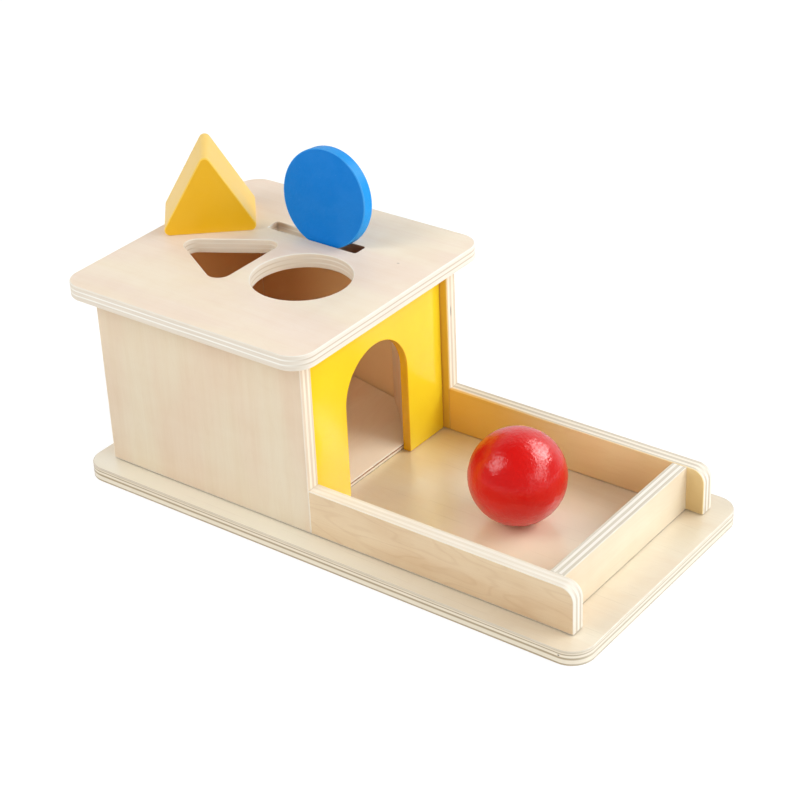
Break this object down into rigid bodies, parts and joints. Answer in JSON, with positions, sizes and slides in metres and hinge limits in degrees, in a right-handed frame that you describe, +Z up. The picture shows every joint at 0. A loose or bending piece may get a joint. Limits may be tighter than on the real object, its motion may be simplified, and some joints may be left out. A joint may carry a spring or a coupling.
{
  "type": "object permanence box",
  "caption": "Plywood posting box with a ball ramp, an arched doorway and an open tray, and a ball, a disc and a triangular block to post.",
  "frame": {"origin": "centre of the base board's underside, on the surface that it stands on", "axes": "+X along the box's length towards the tray's open end, +Y across towards the side with the disc slot, +Z up"},
  "size_m": [0.3112, 0.148, 0.1598],
  "materials": {
    "plywood": "sanded birch-faced plywood, clear matt lacquer",
    "thin_plywood": "sanded three-ply board, unfinished",
    "beech_dowels": "plain turned beech",
    "yellow_paint": "satin water-based paint on board",
    "amber_paint": "satin water-based paint on solid wood",
    "red_paint": "gloss water-based paint on turned wood",
    "blue_paint": "satin water-based paint on turned wood",
    "zinc_screws": "bright zinc plate"
  },
  "bodies": {
    "box": {"base_board": "plywood", "left_side_panel": "plywood", "right_side_panel": "plywood", "back_panel": "plywood", "door_panel": "yellow_paint", "top_board": "plywood", "ball_ramp": "thin_plywood", "ramp_cleat": "plywood", "left_corner_guide": "thin_plywood", "right_corner_guide": "thin_plywood", "left_tray_rail": "plywood", "right_tray_rail": "plywood", "tray_end_rail": "plywood", "base_screws": "zinc_screws", "top_dowels": "beech_dowels", "rail_dowels": "beech_dowels", "end_rail_dowels": "beech_dowels"},
    "ball": {"ball": "red_paint"},
    "disc": {"disc": "blue_paint"},
    "triangle_block": {"triangle_block": "amber_paint"}
  },
  "joints": [
    {"name": "ball_roll", "type": "slide", "parent": "box", "child": "ball", "axis": [1, 0, 0], "range_m": [-0.0675, 0.031]},
    {"name": "disc_drop", "type": "slide", "parent": "box", "child": "disc", "axis": [-0.2425, -0.1165, -0.9631], "range_m": [-0.06, 0.085]},
    {"name": "block_lift", "type": "slide", "parent": "box", "child": "triangle_block", "axis": [0, 0, 1], "range_m": [0, 0.06]}
  ]
}
